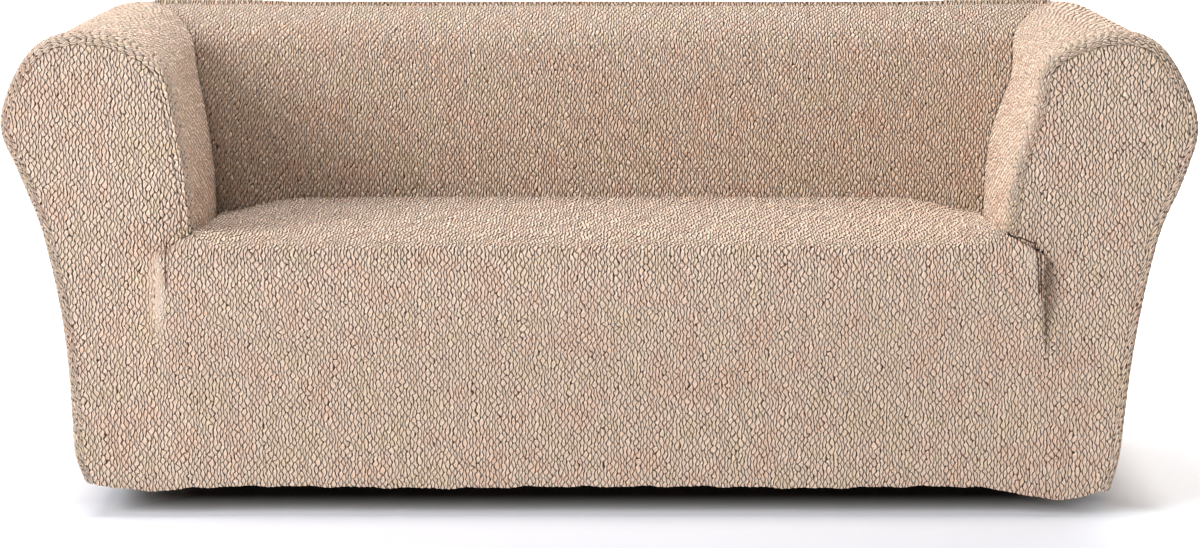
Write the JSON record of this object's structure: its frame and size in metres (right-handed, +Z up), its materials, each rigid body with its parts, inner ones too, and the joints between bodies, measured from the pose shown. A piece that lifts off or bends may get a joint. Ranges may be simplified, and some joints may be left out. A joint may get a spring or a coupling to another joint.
{
  "type": "sofa slipcover",
  "caption": "Fitted stretch slipcover in beige bubble knit, with rolled arms, a one-piece seat and a hem that hangs just above the floor; hollow and open below.",
  "frame": {"origin": "under the middle of the seat's cloth, on its lower face, where the sofa's seat carries it", "axes": "+X along the seat towards the right arm as seen from the front, +Y to the rear, +Z up"},
  "size_m": [1.8385, 0.8804, 0.7279],
  "materials": {
    "bubble_knit": "matte beige stretch jersey with puffed bubbles in staggered rows"
  },
  "bodies": {
    "root": {"seat_panel": "bubble_knit", "front_panel": "bubble_knit", "arm_front_left": "bubble_knit", "arm_front_right": "bubble_knit", "arm_left": "bubble_knit", "arm_right": "bubble_knit", "inside_back": "bubble_knit", "outside_back": "bubble_knit"}
  },
  "joints": []
}
